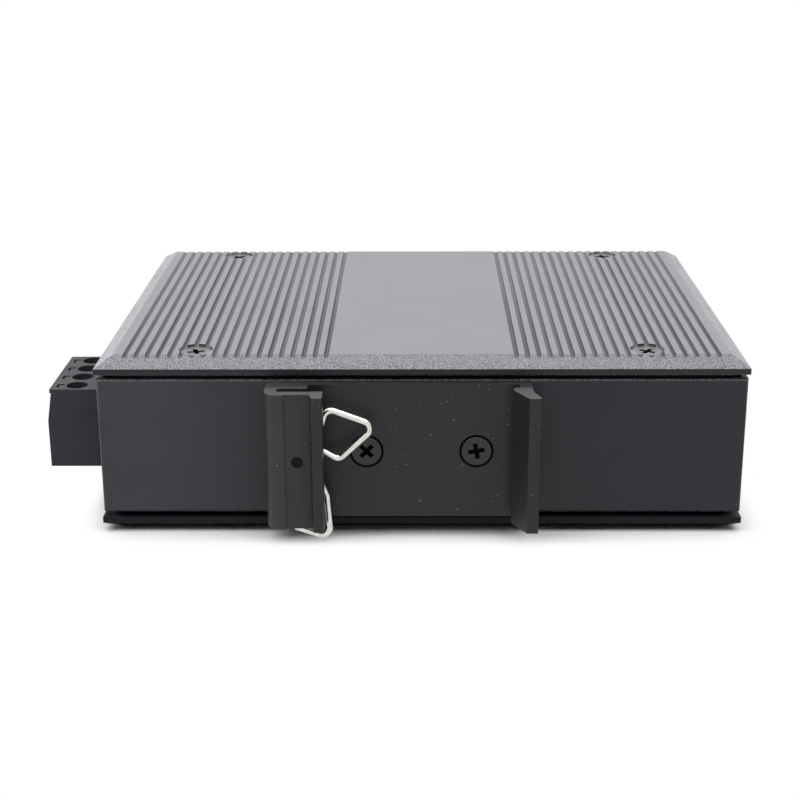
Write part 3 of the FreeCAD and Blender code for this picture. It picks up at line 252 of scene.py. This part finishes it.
class Finish:
    """A material of one Principled shader, fed by patterns that lie on Object coordinates."""

    def __init__(self, name, roughness, metallic=0.0, **sockets):
        self.material = bpy.data.materials.new(name)
        self.material.use_nodes = True
        self.tree = self.material.node_tree
        self.shader = self.tree.nodes["Principled BSDF"]
        self.shader.inputs["Roughness"].default_value = roughness
        self.shader.inputs["Metallic"].default_value = metallic
        for socket, value in sockets.items():
            self.shader.inputs[socket.replace("_", " ")].default_value = value
        self.coordinates = self.add("ShaderNodeTexCoord")

    def add(self, kind):
        return self.tree.nodes.new(kind)

    def link(self, source, target):
        self.tree.links.new(source, target)

    def stretched(self, scale):
        """Object coordinates, stretched by a Mapping node."""
        mapping = self.add("ShaderNodeMapping")
        mapping.inputs["Scale"].default_value = scale
        self.link(self.coordinates.outputs["Object"], mapping.inputs["Vector"])
        return mapping.outputs["Vector"]

    def noise(self, size, detail, vector=None, roughness=0.5):
        """Cloudy pattern with features of about that size, in millimetres."""
        texture = self.add("ShaderNodeTexNoise")
        texture.inputs["Scale"].default_value = 1.0 / (size * MM)
        texture.inputs["Detail"].default_value = detail
        texture.inputs["Roughness"].default_value = roughness
        self.link(vector or self.coordinates.outputs["Object"], texture.inputs["Vector"])
        return texture.outputs["Fac"]

    def specks(self, spacing, size, share):
        """Scattered dots: one in each cell of that spacing, kept in only a share of the cells."""
        cells = self.add("ShaderNodeTexVoronoi")
        cells.inputs["Scale"].default_value = 1.0 / (spacing * MM)
        self.link(self.coordinates.outputs["Object"], cells.inputs["Vector"])
        near = self.share(cells.outputs["Distance"], size / spacing, SPECK_HEART * size / spacing)
        chance = self.add("ShaderNodeSeparateColor")
        self.link(cells.outputs["Color"], chance.inputs["Color"])
        kept = self.share(chance.outputs["Red"], 1.0 - share, 1.0 - share + CHANCE_STEP)
        return self.math("MULTIPLY", near, kept)

    def range(self, value, low, high, to_low, to_high):
        """Goes from to_low to to_high while the value goes from low to high."""
        node = self.add("ShaderNodeMapRange")
        node.inputs["From Min"].default_value = low
        node.inputs["From Max"].default_value = high
        node.inputs["To Min"].default_value = to_low
        node.inputs["To Max"].default_value = to_high
        self.link(value, node.inputs["Value"])
        return node.outputs["Result"]

    def share(self, value, none, full):
        """Goes from 0 to 1 while the value goes from none to full."""
        return self.range(value, none, full, 0.0, 1.0)

    def math(self, operation, first, second):
        node = self.add("ShaderNodeMath")
        node.operation = operation
        for socket, value in zip(node.inputs, (first, second)):
            if isinstance(value, (int, float)):
                socket.default_value = value
            else:
                self.link(value, socket)
        return node.outputs[0]

    def unsigned(self, value):
        return self.math("ABSOLUTE", value, 0.0)

    def mixed(self, share, first, second):
        """A colour between two, each a triple or another node's output."""
        node = self.add("ShaderNodeMix")
        node.data_type = "RGBA"
        self.link(share, node.inputs["Factor"])
        for number, value in ((FIRST_COLOUR, first), (SECOND_COLOUR, second)):
            if isinstance(value, tuple):
                node.inputs[number].default_value = (*value, 1.0)
            else:
                self.link(value, node.inputs[number])
        return node.outputs[MIXED_COLOUR]

    def along(self, coordinates, axis):
        """One axis of the Object or the Normal coordinates."""
        split = self.add("ShaderNodeSeparateXYZ")
        self.link(self.coordinates.outputs[coordinates], split.inputs["Vector"])
        return split.outputs[axis]

    def place(self, axis):
        """Where the surface lies on one of the object's own axes, in metres."""
        return self.along("Object", axis)

    def facing(self, axis):
        """How far the surface faces along one of the object's own axes, from -1 to 1."""
        return self.along("Normal", axis)

    def painted_light_along_x(self, cloud, plain, painted_lit, places):
        """Painted light: a clouded colour going from the plain pair to the paler pair between two places
        along X.
        """
        start, end = places
        share = self.share(self.place("X"), start * MM, end * MM)
        return self.mixed(share, self.mixed(cloud, *plain), self.mixed(cloud, *painted_lit))

    def colour(self, source):
        self.link(source, self.shader.inputs["Base Color"])

    def gloss(self, pattern, least, most):
        """Roughness that follows a noise pattern."""
        self.link(self.range(pattern, NOISE_LOW, NOISE_HIGH, least, most), self.shader.inputs["Roughness"])

    def raised(self, pattern, height):
        """Bump from a pattern, with its height in millimetres."""
        bump = self.add("ShaderNodeBump")
        bump.inputs["Distance"].default_value = height * MM
        self.link(pattern, bump.inputs["Height"])
        self.link(bump.outputs["Normal"], self.shader.inputs["Normal"])


def blasted_metal_painted_light(name, ior):
    """Bead-blasted dark anodised aluminium: the finish begun, its faces painted light, its rim painted shade.
    """
    finish = Finish(name, 0.46, IOR=ior)
    grain = finish.noise(0.21, 2.0, roughness=0.6)
    cloud = finish.noise(14.0, 3.0)
    # painted light: the pale flats stand in for the top light that they reflect
    flat = finish.mixed(grain, (0.22, 0.223, 0.24), (0.30, 0.303, 0.325))
    # painted glints: on the bevels the grain turns to dark and pale specks
    sparkle = finish.share(grain, 0.43, 0.57)
    bevel = finish.mixed(sparkle, (0.085, 0.087, 0.102), (0.34, 0.343, 0.367))
    level = finish.share(finish.unsigned(finish.facing("Z")), 0.85, 0.95)
    faces = finish.mixed(level, bevel, flat)
    # painted shade: the near-black rim stands in for the shade on the panel's sides
    rim = finish.mixed(cloud, (0.005, 0.005, 0.008), (0.010, 0.010, 0.014))
    finish.gloss(cloud, 0.42, 0.52)
    finish.raised(grain, 0.05)
    return finish, faces, rim


def upper_panel():
    """Painted light on its flat and grainy bevels, painted shade on its groove floors and its black rim."""
    finish, faces, rim = blasted_metal_painted_light("blasted_panel", 1.42)
    top, floor = SHADE_LEVELS
    sunk = finish.share(finish.place("Z"), top * MM, floor * MM)
    for axis, reach in SHADE_FIELD:
        aside = finish.unsigned(finish.place(axis))
        inside = finish.share(aside, (reach + SHADE_EDGE) * MM, reach * MM)
        sunk = finish.math("MULTIPLY", sunk, inside)
    # painted shade: the groove floors are darkened where shade would lie in them
    faces = finish.mixed(sunk, faces, (0.112, 0.113, 0.123))
    upward = finish.share(finish.unsigned(finish.facing("Z")), 0.1, 0.42)
    finish.colour(finish.mixed(upward, rim, faces))
    return finish.material


def lower_panel():
    """Pale on the flat underside only, and painted black round rim and seat to suit their deep shade."""
    finish, faces, rim = blasted_metal_painted_light("blasted_lower_panel", 1.25)
    downward = finish.range(finish.facing("Z"), -0.97, -0.9, 1.0, 0.0)
    pale, black = UNDERSIDE
    underside = finish.range(finish.place("Z"), pale * MM, black * MM, 1.0, 0.0)
    finish.colour(finish.mixed(finish.math("MULTIPLY", downward, underside), rim, faces))
    return finish.material


def powder_coat():
    """Fine black powder coat with an orange peel and a little dust; painted light makes it paler to the left
    and on its bends.
    """
    finish = Finish("powder_coat", 0.42, IOR=1.42)
    cloud = finish.noise(9.0, 4.0)
    peel = finish.noise(0.45, 2.0)
    dust = finish.specks(1.6, 0.11, 0.10)
    plain = ((0.005, 0.006, 0.010), (0.013, 0.014, 0.019))
    painted_lit = ((0.022, 0.024, 0.029), (0.040, 0.041, 0.048))
    # painted light: paler to the left, where the light falls more
    base = finish.painted_light_along_x(cloud, plain, painted_lit, CHASSIS_PAINTED_LIGHT)
    # painted highlight: a pale, patchy line along the rounded bends, where light would catch them
    rear = finish.unsigned(finish.facing("Y"))
    past_flat = finish.share(rear, 0.45, 0.6)
    short_of_wall = finish.range(rear, 0.72, 0.84, 1.0, 0.0)
    bend = finish.math("MULTIPLY", past_flat, short_of_wall)
    patches = finish.range(finish.noise(0.4, 3.0), 0.42, 0.60, 0.10, 1.0)
    painted_bend_highlight = finish.mixed(finish.math("MULTIPLY", bend, patches), base, (0.22, 0.22, 0.23))
    finish.colour(finish.mixed(dust, painted_bend_highlight, (0.30, 0.30, 0.29)))
    finish.gloss(cloud, 0.36, 0.46)
    finish.raised(peel, 0.008)
    return finish.material


def drawn_clip():
    """Black anodised extrusion: draw lines along it, dust, pale sawn ends; painted light to the left, painted
    shade by the panel.
    """
    finish = Finish("drawn_clip", 0.44, IOR=1.42)
    lines = finish.noise(0.22, 2.0, finish.stretched((1.0, 1.0, 0.02)))
    cloud = finish.noise(6.0, 3.0)
    dust = finish.math("MAXIMUM", finish.specks(0.9, 0.10, 0.20), finish.specks(1.9, 0.17, 0.18))
    plain = ((0.007, 0.007, 0.009), (0.015, 0.015, 0.018))
    painted_lit = ((0.018, 0.019, 0.022), (0.032, 0.033, 0.037))
    # painted light: paler towards the boss on the left, where the light falls more
    base = finish.painted_light_along_x(cloud, plain, painted_lit, CLIP_PAINTED_LIGHT)
    sawn = finish.mixed(lines, (0.04, 0.04, 0.043), (0.085, 0.085, 0.09))
    outer, inner = SAWN_ENDS
    # painted shade: sawn ends near the panel keep the dark colour, as if under its edge
    clear_of_painted_shade = finish.range(finish.place("Y"), outer * MM, inner * MM, 1.0, 0.15)
    level = finish.share(finish.unsigned(finish.facing("Z")), 0.6, 0.9)
    faces = finish.mixed(finish.math("MULTIPLY", clear_of_painted_shade, level), base, sawn)
    finish.colour(finish.mixed(dust, faces, (0.35, 0.35, 0.34)))
    finish.gloss(lines, 0.38, 0.48)
    finish.raised(lines, 0.01)
    return finish.material


def black_oxide():
    """Blackened screws: dark and a little glossy, scuffed in places."""
    finish = Finish("black_oxide", 0.3, IOR=1.5)
    scuff = finish.noise(0.5, 4.0)
    patch = finish.share(scuff, 0.62, 0.72)
    finish.colour(finish.mixed(patch, (0.006, 0.006, 0.007), (0.05, 0.05, 0.05)))
    finish.gloss(scuff, 0.22, 0.42)
    finish.raised(scuff, 0.02)
    return finish.material


def black_painted_lit_on_top():
    """Upper panel's screws: black, with a dull grey top that is painted light."""
    finish = Finish("black_painted_lit_on_top", 0.4, IOR=1.45)
    blotch = finish.noise(0.7, 3.0)
    # painted light: the upward faces are grey, where the light from above falls
    top = finish.share(finish.facing("Z"), 0.9, 0.99)
    grey = finish.mixed(blotch, (0.10, 0.10, 0.105), (0.24, 0.24, 0.25))
    finish.colour(finish.mixed(top, (0.01, 0.01, 0.01), grey))
    finish.gloss(blotch, 0.32, 0.5)
    return finish.material


def painted_recess_shade():
    """Painted shade: near black inside screw recesses and countersinks, where little light comes back out."""
    finish = Finish("painted_recess_shade", 0.55, IOR=1.12)
    shade_mottle = finish.noise(0.3, 3.0)
    finish.colour(finish.mixed(shade_mottle, (0.001, 0.001, 0.001), (0.008, 0.008, 0.008)))
    finish.gloss(shade_mottle, 0.45, 0.65)
    return finish.material


def staked_pin():
    """Blackened pin, with the end that shows dented where it was staked."""
    finish = Finish("staked_pin", 0.5, IOR=1.18)
    dents = finish.noise(0.8, 2.0)
    finish.colour(finish.mixed(dents, (0.002, 0.002, 0.002), (0.012, 0.012, 0.012)))
    finish.gloss(dents, 0.3, 0.6)
    finish.raised(dents, 0.5)
    return finish.material


def bright_wire():
    """Bright spring wire with faint drawing marks."""
    finish = Finish("bright_wire", 0.2, 1.0)
    marks = finish.noise(0.6, 3.0)
    finish.colour(finish.mixed(marks, (0.52, 0.50, 0.46), (0.84, 0.82, 0.78)))
    finish.gloss(marks, 0.12, 0.28)
    return finish.material


def moulded(name, dark, pale, roughness, ior=1.45):
    """Plastic, rubber, ferrite or lacquer: slight clouds and a fine, even texture."""
    finish = Finish(name, roughness, IOR=ior)
    cloud = finish.noise(5.0, 3.0)
    texture = finish.noise(0.2, 2.0)
    finish.colour(finish.mixed(cloud, dark, pale))
    finish.gloss(cloud, roughness - 0.05, roughness + 0.06)
    finish.raised(texture, 0.006)
    return finish.material


def plated(name, dark, pale, roughness):
    """Bright metal, plated or plain, with a slightly uneven, lightly brushed skin."""
    finish = Finish(name, roughness, 1.0)
    brush = finish.noise(0.15, 3.0, finish.stretched((1.0, 0.05, 1.0)))
    finish.colour(finish.mixed(brush, dark, pale))
    finish.gloss(brush, roughness - 0.06, roughness + 0.1)
    return finish.material


def clear_moulding():
    """Clear light pipes with a trace of haze."""
    finish = Finish("clear_moulding", 0.12, IOR=1.49, Transmission_Weight=0.85)
    haze = finish.noise(2.0, 2.0)
    finish.colour(finish.mixed(haze, (0.82, 0.86, 0.84), (0.90, 0.94, 0.92)))
    finish.gloss(haze, 0.08, 0.2)
    return finish.material


FINISHES = {
    "panel_metal": upper_panel(),
    "chassis_coat": powder_coat(),
    "clip_metal": drawn_clip(),
    "black_screw": black_oxide(),
    "pin_steel": staked_pin(),
    "spring_steel": bright_wire(),
    "bright_steel": plated("zinc_plate", (0.50, 0.50, 0.50), (0.66, 0.66, 0.65), 0.32),
    "clamp_steel": plated("nickel_plate", (0.42, 0.42, 0.41), (0.58, 0.57, 0.55), 0.3),
    "shield_metal": plated("jack_shield", (0.36, 0.36, 0.35), (0.50, 0.49, 0.47), 0.30),
    "contact_brass": plated("tinned_contact", (0.68, 0.62, 0.48), (0.80, 0.74, 0.60), 0.35),
    "contact_gold": plated("gold_flash", (0.80, 0.58, 0.22), (0.92, 0.70, 0.32), 0.22),
    "can_metal": plated("capacitor_can", (0.60, 0.60, 0.62), (0.74, 0.74, 0.76), 0.3),
    "plug_plastic": moulded("plug_plastic", (0.026, 0.0275, 0.032), (0.044, 0.0465, 0.053), 0.45, ior=1.25),
    "header_plastic": moulded("header_plastic", (0.018, 0.018, 0.019), (0.028, 0.028, 0.030), 0.48),
    "insert_plastic": moulded("insert_plastic", (0.015, 0.015, 0.016), (0.025, 0.025, 0.026), 0.5),
    "moulded_black": moulded("chip_epoxy", (0.014, 0.014, 0.015), (0.024, 0.024, 0.025), 0.55),
    "board_laminate": moulded("solder_mask", (0.010, 0.13, 0.05), (0.014, 0.20, 0.08), 0.35),
    "pad_rubber": moulded("silicone_pad", (0.36, 0.40, 0.46), (0.44, 0.48, 0.55), 0.7),
    "ferrite": moulded("ferrite", (0.03, 0.03, 0.03), (0.05, 0.05, 0.05), 0.6),
    "lamp_plastic": moulded("lamp_lens", (0.60, 0.66, 0.46), (0.72, 0.78, 0.56), 0.2),
    "pipe_clear": clear_moulding(),
}
PAINTED_RECESS_SHADE = painted_recess_shade()
LOWER_PANEL = lower_panel()


def finish_nodes():
    """Gives each CAD node the finish of its slot."""
    for name, node in NODES.items():
        node.data.materials.clear()
        node.data.materials.append(FINISHES[SLOT_OF[name]])


# ---------------------------------------------------------------- eased edges

def softened_grooves(form):
    """Makes the panel's grooves shallower and lets them fade towards the front."""
    top = max(vertex.co.z for vertex in form.verts)
    for vertex in form.verts:
        depth = top - vertex.co.z
        if all(abs(depth - level) > GROOVE_SLACK for level in GROOVE_LEVELS):
            continue
        along = (vertex.co.y + FLAT_REACH) / (2 * FLAT_REACH)
        share = GROOVE_NEAR + (GROOVE_FAR - GROOVE_NEAR) * min(max(along, 0.0), 1.0)
        vertex.co.z = top - depth * share
        past = abs(vertex.co.y) - FLAT_REACH
        if past > 0.0:
            vertex.co.y = math.copysign(FLAT_REACH + past * share, vertex.co.y)


def eased(name, width, shortest, reshape=None):
    """A copy of a rigid node, shown in its place, with its sharp edges rounded over a width in mm.

    Edges under the shortest length, in mm, stay sharp. Reshape may change the form before that.
    """
    form = bmesh.new()
    form.from_mesh(NODES[name].data)
    bmesh.ops.remove_doubles(form, verts=form.verts, dist=SAME_SPOT)
    bmesh.ops.dissolve_limit(
        form, angle_limit=SAME_PLANE, verts=form.verts, edges=form.edges, delimit={"NORMAL"}
    )
    if reshape:
        reshape(form)
    sharp = [
        edge for edge in form.edges
        if len(edge.link_faces) == 2
        and edge.calc_face_angle() > SHARP_FROM
        and edge.calc_length() > shortest * MM
    ]
    bmesh.ops.bevel(
        form, geom=sharp, offset=width * MM, offset_type="OFFSET", segments=EASE_STEPS,
        profile=0.5, affect="EDGES", clamp_overlap=True, material=-1,
    )
    mesh = bpy.data.meshes.new(name + "_eased")
    form.to_mesh(mesh)
    form.free()
    mesh.shade_smooth()
    mesh.set_sharp_from_angle(angle=SMOOTH_UP_TO)
    piece = bpy.data.objects.new(name + "_eased", mesh)
    bpy.context.scene.collection.objects.link(piece)
    even = piece.modifiers.new("even_shading", "WEIGHTED_NORMAL")
    even.keep_sharp = True
    mesh.materials.append(FINISHES[SLOT_OF[name]])
    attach(piece, BODY_OF[name])
    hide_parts(name)
    return piece


# ---------------------------------------------------------------- screws

def shadowed(piece, sites, reach, outward):
    """Puts painted shade round each site on the faces that lie deeper than it or don't face outward."""
    piece.data.materials.append(PAINTED_RECESS_SHADE)
    for face in piece.data.polygons:
        site = min(sites, key=lambda spot: (face.center - spot).length)
        depth = (face.center - site).dot(outward)
        away = (face.center - site - outward * depth).length
        if away < reach and (face.normal.dot(outward) < FACING_OUT or depth < -HIDDEN_DEPTH):
            face.material_index = 1


def slimmed(piece, sites, share):
    """Draws each screw in towards its own axis, so that its head stands clear of its hole."""
    for vertex in piece.data.vertices:
        site = min(sites, key=lambda spot: abs(spot.x - vertex.co.x))
        vertex.co.x = site.x + (vertex.co.x - site.x) * share
        vertex.co.z = site.z + (vertex.co.z - site.z) * share


def add_outer_screws(clip):
    """Eases the clip's and the upper panel's screws, with painted shade in their crosses and the clip's
    sinks.
    """
    clip_screws = eased("din_clip_screws", width=0.06, shortest=0.3)
    low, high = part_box("din_clip_screws")
    head = (high[2] - low[2]) / 2    # radius of a head, and the panel screws have the same
    axis_z = (low[2] + high[2]) / 2
    sites = [Vector((side, low[1], axis_z)) for side in (low[0] + head, high[0] - head)]
    rearward = Vector((0.0, -1.0, 0.0))
    shadowed(clip, sites, SINK_REACH, rearward)
    shadowed(clip_screws, sites, CROSS_REACH, rearward)
    slimmed(clip_screws, sites, HEAD_SHARE)
    panel_screws = eased("top_panel_screws", width=0.05, shortest=0.3)
    low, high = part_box("top_panel_screws")
    sides = (low[0] + head, high[0] - head)
    ends = (low[1] + head, high[1] - head)
    corners = [Vector((x, y, high[2])) for x in sides for y in ends]
    panel_screws.data.materials[0] = black_painted_lit_on_top()
    shadowed(panel_screws, corners, CROSS_REACH, Vector((0.0, 0.0, 1.0)))


# ---------------------------------------------------------------- wire spring

def rounded(path, radius, steps):
    """The path's points, with each inner corner turned into an arc."""
    points = [path[0]]
    for before, corner, after in zip(path, path[1:], path[2:]):
        first = (before - corner).normalized()
        second = (after - corner).normalized()
        half = first.angle(second) / 2
        centre = corner + (first + second).normalized() * (radius / math.sin(half))
        start = corner + first * (radius / math.tan(half)) - centre
        end = corner + second * (radius / math.tan(half)) - centre
        turn = start.rotation_difference(end)
        for k in range(steps + 1):
            spoke = start.copy()
            spoke.rotate(Quaternion().slerp(turn, k / steps))
            points.append(centre + spoke)
    points.append(path[-1])
    return points


def spring_wire():
    """The spring as one bent wire: an upper loop, half a turn round the pin and a lower hook."""
    low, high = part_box("spring_pin")
    pin_x = (low[0] + high[0]) / 2
    pin_z = (low[2] + high[2]) / 2
    low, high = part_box("wire_spring")
    plane = (low[1] + high[1]) / 2
    corners = UPPER_LOOP + PIN_TURN + LOWER_HOOK
    spots = [Vector((pin_x + across * MM, plane, pin_z + up * MM)) for across, up in corners]
    curve = bpy.data.curves.new("spring_line", "CURVE")
    curve.dimensions = "3D"
    line = rounded(spots, WIRE_BEND, WIRE_BEND_STEPS)
    spline = curve.splines.new("POLY")
    spline.points.add(len(line) - 1)
    for point, spot in zip(spline.points, line):
        point.co = (*spot, 1.0)
    curve.bevel_depth = (high[1] - low[1]) / 2
    curve.bevel_resolution = WIRE_RING_STEPS
    curve.use_fill_caps = True
    guide = bpy.data.objects.new("spring_line", curve)
    mesh = bpy.data.meshes.new_from_object(guide)
    bpy.data.objects.remove(guide)
    mesh.shade_smooth()
    mesh.set_sharp_from_angle(angle=WIRE_SMOOTH_UP_TO)
    piece = bpy.data.objects.new("bent_wire", mesh)
    bpy.context.scene.collection.objects.link(piece)
    mesh.materials.clear()
    mesh.materials.append(FINISHES["spring_steel"])
    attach(piece, "wire_spring")
    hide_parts("wire_spring")


bpy.context.scene.view_settings.view_transform = "Standard"
add_camera()
add_world()
add_floor()
for softbox in SOFTBOXES:
    add_softbox(*softbox)
finish_nodes()
eased("top_side_panel", width=0.12, shortest=0.5, reshape=softened_grooves)
eased("rear_chassis", width=0.12, shortest=0.6)
rail_clip = eased("din_clip", width=0.12, shortest=0.5)
eased("terminal_plug", width=0.15, shortest=0.5)
add_outer_screws(rail_clip)
eased("bottom_side_panel", width=0.12, shortest=0.5).data.materials[0] = LOWER_PANEL
eased("front_plate", width=0.12, shortest=0.5)
spring_wire()
